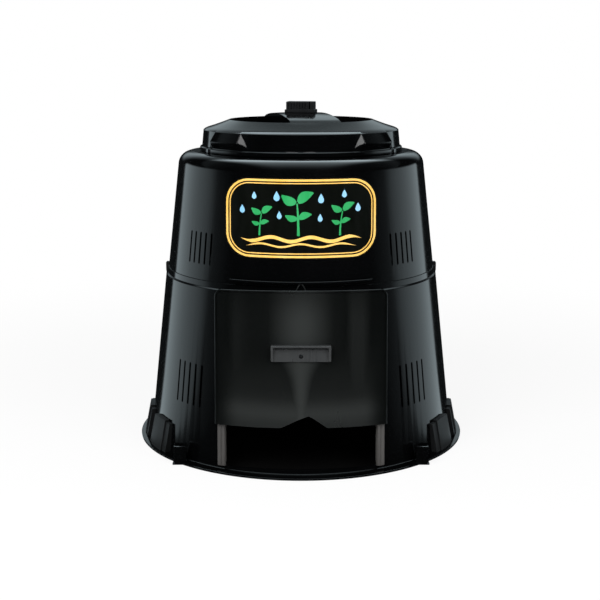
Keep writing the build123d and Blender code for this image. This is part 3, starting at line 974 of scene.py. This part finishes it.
# The screw in the middle of the pull's plate goes through the door.
pull_screw = screw("pull_screw", 0.0052, 0.0028, 0.002, 0.007)
pull_screw.data.transform(Matrix.Rotation(radians(-90), 4, "X"))
pull_screw.data.transform(Matrix.Translation((0, -pull_face - pull_plate + 0.0014, pull_top - 0.026)))
pull_screw.data.transform(up_front)
dress(pull_screw, screw_steel)
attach(pull_screw, "door")
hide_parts("door_pull_screw")

# The latch loop is a small triangular eye of round bar that stands up from the door's top edge.
loop_foot_half = 0.0115
loop_tip_half = 0.0030
loop_low = door_top - 0.0010
loop_high = door_top + 0.0145
curve = bpy.data.curves.new("latch_loop", "CURVE")
curve.dimensions = "3D"
curve.bevel_depth = 0.0020
curve.bevel_resolution = 4
strand = curve.splines.new("POLY")
loop_path = [(-loop_foot_half, loop_low), (loop_foot_half, loop_low), (loop_tip_half, loop_high)]
loop_path += [(0, loop_high + 0.0010), (-loop_tip_half, loop_high)]
strand.points.add(len(loop_path) - 1)
for point, (x, up) in zip(strand.points, loop_path):
    point.co = (x, -pull_face + 0.0015, up, 1)
strand.use_cyclic_u = True
latch_loop = bpy.data.objects.new("latch_eye", curve)
bpy.context.collection.objects.link(latch_loop)
only(latch_loop)
bpy.ops.object.convert(target="MESH")
latch_loop.data.transform(up_front)
smooth(latch_loop, 50)
dress(latch_loop, satin_black)
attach(latch_loop, "door")
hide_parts("door_latch_loop")

# Joint clips: small black moulded clips pressed over the seam at the sides and the back of the bin.
# Each is a plate on the wall with a rib down its middle.
clip_low, clip_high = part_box("joint_clip_right")
clip_deep = clip_high.x - clip_low.x
clip_mid = (clip_high.z + clip_low.z) / 2
clip_tall = clip_high.z - clip_low.z
clip_wide = clip_high.y - clip_low.y
for bearing, name in ((90, "right"), (-90, "left"), (180, "rear")):
    place = (0, -(clip_high.x + clip_low.x) / 2 + 0.0006, clip_mid)
    clip = block("clip_" + name, (clip_wide, clip_deep - 0.0012, clip_tall), place, 0.0012, segments=3)
    rib_place = (0, -clip_high.x + 0.0012, clip_mid)
    rib = block("clip_rib", (clip_wide * 0.36, 0.0022, clip_tall - 0.004), rib_place, 0.0008, segments=3)
    cut(clip, rib, "UNION")
    clip.data.transform(about_z(bearing))
    smooth(clip, 40)
    dress(clip, matte_black)
    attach(clip, "bin")
    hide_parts("joint_clip_" + name)

# Foot blocks: nine stepped matte black blocks that stand on the flange against the tub's foot.
# Each has a tall crest and a lower shoulder on both sides.
block_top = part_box("foot_block_1")[1].z
block_foot = flange_thick - 0.0004
shoulder_drop = 0.005


def block_step(name, half_angle, top, proud_foot, proud_head):
    """Wedge of a ring between the tub's wall and an upright face that leans with the wall."""
    return turn(name, rounded([
        (tub_r(block_foot) - 0.0012, block_foot, 0),
        (tub_r(block_foot) + proud_foot, block_foot, 0),
        (tub_r(top) + proud_head, top, 0.0016),
        (tub_r(top) - 0.0012, top, 0),
    ], cuts=4), start=-half_angle, sweep=2 * half_angle, steps=24)


block_bearings = (63, 84, 115, 150, 180, 210, 245, 276, 297)
for number, bearing in enumerate(block_bearings, 1):
    foot_block = block_step("block_%d" % number, 4.5, block_top, 0.0175, 0.011)
    shoulders = block_step("shoulders", 7.5, block_top - shoulder_drop, 0.015, 0.0085)
    cut(foot_block, shoulders, "UNION")
    foot_block.data.transform(about_z(bearing))
    smooth(foot_block, 35)
    dress(foot_block, matte_black)
    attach(foot_block, "bin")
    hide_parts("foot_block_%d" % number)

# Label: a thin printed patch stuck on the front of the upper half, black with a gold double border.
# Its print is a row of seedlings in wavy soil under falling drops, each colour a thin layer of ink.
label_low, label_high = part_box("front_label")
label_mid = (label_low.z + label_high.z) / 2
label_half_wide = (label_high.x - label_low.x) / 2
label_half_tall = (label_high.z - label_low.z) / 2
label_round = 0.058


def frame_outline(inset, steps=12):
    """Outline of the label drawn in from its edge by an inset."""
    wide, tall, rounding = label_half_wide - inset, label_half_tall - inset, label_round - inset
    points = []
    for quarter, (sx, sy) in enumerate(((1, 1), (-1, 1), (-1, -1), (1, -1))):
        for k in range(steps + 1):
            swing = radians(90 * quarter + 90 * k / steps)
            points.append((sx * (wide - rounding) + rounding * cos(swing), sy * (tall - rounding) + rounding * sin(swing)))
    return points


def band(outer, inner):
    """Four-sided faces that fill the space between two outlines with the same number of points."""
    count = len(outer)
    return [[outer[k], outer[(k + 1) % count], inner[(k + 1) % count], inner[k]] for k in range(count)]


def print_layer(name, faces, low, high, material):
    """Thin layer laid on the front of the upper half: flat faces, sliced upright and wrapped on the wall."""
    points, polygons = [], []
    for face in faces:
        polygons.append(list(range(len(points), len(points) + len(face))))
        points += [(x, 0, up) for x, up in face]
    mesh = bpy.data.meshes.new(name)
    mesh.from_pydata(points, [], polygons)
    piece = bpy.data.objects.new(name, mesh)
    bpy.context.collection.objects.link(piece)
    only(piece)
    bpy.ops.object.mode_set(mode="EDIT")
    bpy.ops.mesh.select_all(action="SELECT")
    bpy.ops.mesh.remove_doubles(threshold=1e-6)
    for k in range(-28, 29):
        bpy.ops.mesh.select_all(action="SELECT")
        bpy.ops.mesh.bisect(plane_co=(k * 0.0063, 0, 0), plane_no=(1, 0, 0))
    bpy.ops.mesh.select_all(action="SELECT")
    bpy.ops.mesh.extrude_region_move(TRANSFORM_OT_translate={"value": (0, -1, 0)})
    bpy.ops.mesh.select_all(action="SELECT")
    bpy.ops.mesh.normals_make_consistent(inside=False)
    bpy.ops.object.mode_set(mode="OBJECT")
    for vertex in piece.data.vertices:
        x, depth, up = vertex.co
        z = label_mid + up
        r = upper_r(z) + low - (high - low) * depth
        vertex.co = (x, -(r * r - x * x) ** 0.5, z)
    smooth(piece, 30)
    dress(piece, material)
    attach(piece, "bin")
    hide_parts("front_label")
    return piece


def ink(name, colour, worn):
    """Printing ink: even colour with slightly worn patches."""
    return plastic(name, colour, worn, (0.30, 0.42), 60.0, 900.0, 0.00005)


label_black = ink("label_black", (0.0016, 0.0022, 0.0014), (0.0030, 0.0038, 0.0028))
print_layer("label_patch", [frame_outline(0)], -0.0002, 0.0006, label_black)

label_gold = ink("label_gold", (0.82, 0.47, 0.085), (0.90, 0.58, 0.17))
gold_faces = band(frame_outline(0.0035), frame_outline(0.0085))
gold_faces += band(frame_outline(0.0118), frame_outline(0.0142))
soil_half = 0.140
soil_waves = []
for row, (up, rise, thick) in enumerate(((-0.047, 0.0050, 0.0080), (-0.061, 0.0036, 0.0042))):
    half = soil_half - 0.012 * row
    crest, trough = [], []
    for k in range(61):
        x = half * (k / 30 - 1)
        swell = rise * sin(x * 68 + 1.6 * row)
        taper = min(1.0, (1 - abs(x) / half) * 5)
        crest.append((x, up + swell + thick * taper / 2))
        trough.append((x, up + swell - thick * taper / 2))
    soil_waves += [[trough[k], trough[k + 1], crest[k + 1], crest[k]] for k in range(60)]
print_layer("label_gold_ink", gold_faces + soil_waves, 0.0004, 0.00075, label_gold)


def leaf(foot, swing, long, wide):
    """Pointed leaf that grows from a foot in a direction, as strips across its length."""
    along = Vector((cos(radians(swing)), sin(radians(swing))))
    across = Vector((-along.y, along.x))
    spine = [Vector(foot) + along * (long * k / 16) + across * (0.10 * long * sin(pi * k / 16)) for k in range(17)]
    half = [wide / 2 * sin(pi * (k / 16) ** 0.8) for k in range(17)]
    left = [tuple(s + across * h) for s, h in zip(spine, half)]
    right = [tuple(s - across * h) for s, h in zip(spine, half)]
    return [[right[k], right[k + 1], left[k + 1], left[k]] for k in range(1, 15)]


def stem(foot, tall, wide, lean):
    """Stem that leans as it rises and thins towards its tip."""
    path = [(foot[0] + lean * (k / 10) ** 2, foot[1] + tall * k / 10, wide * (1 - 0.5 * k / 10) / 2) for k in range(11)]
    return [
        [
            (path[k][0] - path[k][2], path[k][1]),
            (path[k][0] + path[k][2], path[k][1]),
            (path[k + 1][0] + path[k + 1][2], path[k + 1][1]),
            (path[k + 1][0] - path[k + 1][2], path[k + 1][1]),
        ]
        for k in range(10)
    ]


seedlings = ((-0.096, 0.050, 0.005, 0.82), (-0.006, 0.074, -0.003, 1.25), (0.090, 0.056, 0.006, 0.90))
green_faces = []
for x, tall, lean, scale in seedlings:
    foot = (x, -0.039)
    tip = (x + lean, -0.039 + tall)
    low_joint = (x + lean * 0.3, -0.039 + tall * 0.52)
    green_faces += stem(foot, tall, 0.0052 * scale, lean)
    green_faces += leaf(tip, 32, 0.038 * scale, 0.018 * scale)
    green_faces += leaf(tip, 152, 0.034 * scale, 0.017 * scale)
    green_faces += leaf(low_joint, 18, 0.028 * scale, 0.013 * scale)
    green_faces += leaf(low_joint, 164, 0.026 * scale, 0.012 * scale)
label_green = ink("label_green", (0.013, 0.285, 0.075), (0.030, 0.340, 0.110))
print_layer("label_green_ink", green_faces, 0.0004, 0.0008, label_green)


def drop(x, up, tall):
    """Falling drop with its point at the top, as strips across its height."""
    rows = []
    for k in range(15):
        t = k / 14
        half = tall * 0.30 * (sin(pi * t ** 0.62) + 0.02)
        rows.append((half, up + tall * (t - 0.5)))
    return [
        [(x - rows[k][0], rows[k][1]), (x + rows[k][0], rows[k][1]), (x + rows[k + 1][0], rows[k + 1][1]), (x - rows[k + 1][0], rows[k + 1][1])]
        for k in range(14)
    ]


drops = ((-0.136, 0.020, 0.019), (-0.056, 0.051, 0.023), (-0.108, 0.052, 0.017), (-0.050, 0.008, 0.018))
drops += ((0.046, 0.046, 0.022), (0.132, 0.024, 0.020), (0.100, 0.056, 0.018), (0.044, 0.002, 0.018))
blue_faces = []
for x, up, tall in drops:
    blue_faces += drop(x, up, tall)
label_blue = ink("label_blue", (0.205, 0.468, 0.695), (0.290, 0.550, 0.750))
print_layer("label_blue_ink", blue_faces, 0.0004, 0.0007, label_blue)

# Studio: a white floor and room. In the gloss, the floor shows pale at the sides and dark in front.
# It is dark again at the back, which draws a dark line inside the bin's outline.
bpy.ops.object.select_all(action="DESELECT")
bpy.ops.mesh.primitive_plane_add(size=60, location=(0, 0, -0.0006))
floor = bpy.context.active_object
floor.name = "studio_floor"


def heading(tree, across, along):
    """How far a level direction points to the back, from 0 in front to 1 behind."""
    path = tree.nodes.new("ShaderNodeCombineXYZ")
    tree.links.new(across, path.inputs["X"])
    tree.links.new(along, path.inputs["Y"])
    unit = tree.nodes.new("ShaderNodeVectorMath")
    unit.operation = "NORMALIZE"
    tree.links.new(path.outputs["Vector"], unit.inputs[0])
    parts = tree.nodes.new("ShaderNodeSeparateXYZ")
    tree.links.new(unit.outputs["Vector"], parts.inputs["Vector"])
    return ranged(tree, parts.outputs["Y"], -1.0, 1.0, 0.0, 1.0, "LINEAR")


def mirror_tint(tree, seen):
    """White light that turns a little cold in the gloss."""
    tint = tree.nodes.new("ShaderNodeMix")
    tint.data_type = "RGBA"
    tint.inputs[6].default_value = (1, 1, 1, 1)
    tint.inputs[7].default_value = (0.84, 1.0, 1.06, 1)
    tree.links.new(seen.outputs["Is Glossy Ray"], tint.inputs["Factor"])
    return tint.outputs[2]


round_levels = (
    (0.0, 0.01), (1.0, 0.01), (0.275, 0.02), (0.425, 0.14), (0.50, 0.60), (0.56, 0.78),
    (0.725, 1.04), (0.80, 1.14), (0.850, 1.14), (0.865, 0.015),
)
floor_paint = bpy.data.materials.new("studio_floor")
floor_paint.use_nodes = True
tree = floor_paint.node_tree
matt = tree.nodes["Principled BSDF"]
matt.inputs["Roughness"].default_value = 0.9
matt.inputs["Specular IOR Level"].default_value = 0.0
floor_place = tree.nodes.new("ShaderNodeTexCoord")
from_middle = tree.nodes.new("ShaderNodeVectorMath")
from_middle.operation = "LENGTH"
tree.links.new(floor_place.outputs["Object"], from_middle.inputs[0])
distance = from_middle.outputs["Value"]
# Painted shade: inside the bin's foot the floor is coloured nearly black, standing in for the deep shade under the bin.
tree.links.new(ranged(tree, distance, 0.385, 0.40, 0.003, 0.86), matt.inputs["Base Color"])
seen = tree.nodes.new("ShaderNodeLightPath")
outside = ranged(tree, distance, 0.400, 0.410, 0.0, 1.0)
white_share = ranged(tree, distance, 0.6, 2.4, 0.86, 1.0)
camera_share = joined(tree, "MULTIPLY", seen.outputs["Is Camera Ray"], white_share)
ray_share = joined(tree, "ADD", camera_share, seen.outputs["Is Glossy Ray"])
share = joined(tree, "MULTIPLY", ray_share, outside)
split = tree.nodes.new("ShaderNodeSeparateXYZ")
tree.links.new(floor_place.outputs["Object"], split.inputs["Vector"])
from_side = ranged(tree, size_of(tree, split.outputs["X"]), 0.36, 30.36, 0.0, 30.0, "LINEAR")
from_front = ranged(tree, split.outputs["Y"], -30.10, 29.90, -30.0, 30.0, "LINEAR")
mirrored = ramp(tree, heading(tree, from_side, from_front), round_levels)
glow = tree.nodes.new("ShaderNodeEmission")
level = tree.nodes.new("ShaderNodeMix")
level.inputs[3].default_value = 1.0
tree.links.new(seen.outputs["Is Camera Ray"], level.inputs["Factor"])
tree.links.new(mirrored, level.inputs[2])
tree.links.new(level.outputs[0], glow.inputs["Strength"])
tree.links.new(mirror_tint(tree, seen), glow.inputs["Color"])
blend = tree.nodes.new("ShaderNodeMixShader")
tree.links.new(share, blend.inputs["Fac"])
tree.links.new(matt.outputs["BSDF"], blend.inputs[1])
tree.links.new(glow.outputs["Emission"], blend.inputs[2])
tree.links.new(blend.outputs["Shader"], tree.nodes["Material Output"].inputs["Surface"])
floor.data.materials.append(floor_paint)

world = bpy.data.worlds.new("studio")
bpy.context.scene.world = world
world.use_nodes = True
tree = world.node_tree
room = tree.nodes["Background"]
way = tree.nodes.new("ShaderNodeTexCoord")
split = tree.nodes.new("ShaderNodeSeparateXYZ")
tree.links.new(way.outputs["Generated"], split.inputs["Vector"])
up = size_of(tree, split.outputs["Z"])
low_room = ramp(tree, heading(tree, split.outputs["X"], split.outputs["Y"]), round_levels)
over = joined(tree, "ARCTAN2", up, split.outputs["Y"])
sky = ramp(tree, ranged(tree, over, 0.0, pi, 0.0, 1.0, "LINEAR"), (
    (0.0, 0.25), (1.0, 0.01), (0.044, 0.40), (0.067, 0.55), (0.122, 0.55), (0.167, 0.35), (0.256, 0.26),
    (0.283, 4.20), (0.322, 5.40), (0.367, 4.20), (0.425, 2.40), (0.478, 1.80), (0.583, 1.00), (0.694, 0.28),
    (0.806, 0.03),
))
sky_wide = ranged(tree, size_of(tree, split.outputs["X"]), 0.26, 0.60, 1.0, 0.02)
high_room = joined(tree, "MULTIPLY", sky, sky_wide)
mirrored = tree.nodes.new("ShaderNodeMix")
tree.links.new(ranged(tree, up, 0.08, 0.20, 0.0, 1.0), mirrored.inputs["Factor"])
tree.links.new(low_room, mirrored.inputs[2])
tree.links.new(high_room, mirrored.inputs[3])
seen = tree.nodes.new("ShaderNodeLightPath")
level = tree.nodes.new("ShaderNodeMix")
level.inputs[2].default_value = 0.45
tree.links.new(seen.outputs["Is Glossy Ray"], level.inputs["Factor"])
tree.links.new(mirrored.outputs[0], level.inputs[3])
room_level = joined(tree, "MAXIMUM", level.outputs[0], seen.outputs["Is Camera Ray"])
tree.links.new(room_level, room.inputs["Strength"])
tree.links.new(mirror_tint(tree, seen), room.inputs["Color"])

# Two lamps light the colours evenly, and two soft boxes show only in the lid's gloss.
lid_only = bpy.data.collections.new("lid_only")
lid_only.objects.link(lid)
lamps = (
    ("key", (-1.6, -2.4, 2.4), 2.0, 90.0, False),
    ("fill", (1.8, -2.4, 2.0), 2.0, 60.0, False),
    ("left_box", (-0.48, -2.30, 3.22), 0.6, 4.6, True),
    ("right_box", (0.48, -2.30, 3.22), 0.6, 4.6, True),
)
for name, place, size, power, for_gloss in lamps:
    lamp = bpy.data.lights.new(name, "AREA")
    lamp.size = size
    lamp.energy = power
    holder = bpy.data.objects.new(name, lamp)
    holder.location = place
    holder.rotation_euler = (Vector((0, 0, 0.45)) - Vector(place)).to_track_quat("-Z", "Y").to_euler()
    holder.visible_glossy = for_gloss
    holder.visible_diffuse = not for_gloss
    if for_gloss:
        holder.light_linking.receiver_collection = lid_only
    bpy.context.collection.objects.link(holder)

# Camera: level with the top of the bin and looking down a little, as in the photograph.
focal_px = 1196.0
picture_px = 600.0
lens = bpy.data.cameras.new("camera")
lens.sensor_width = 36.0
lens.lens = lens.sensor_width * focal_px / picture_px
lens.shift_x = -1.0 / picture_px
camera = bpy.data.objects.new("camera", lens)
camera.location = (0, -3.045, 0.962)
camera.rotation_euler = (radians(90 - 11.51), 0, 0)
bpy.context.collection.objects.link(camera)
bpy.context.scene.camera = camera
bpy.context.scene.view_settings.view_transform = "Standard"
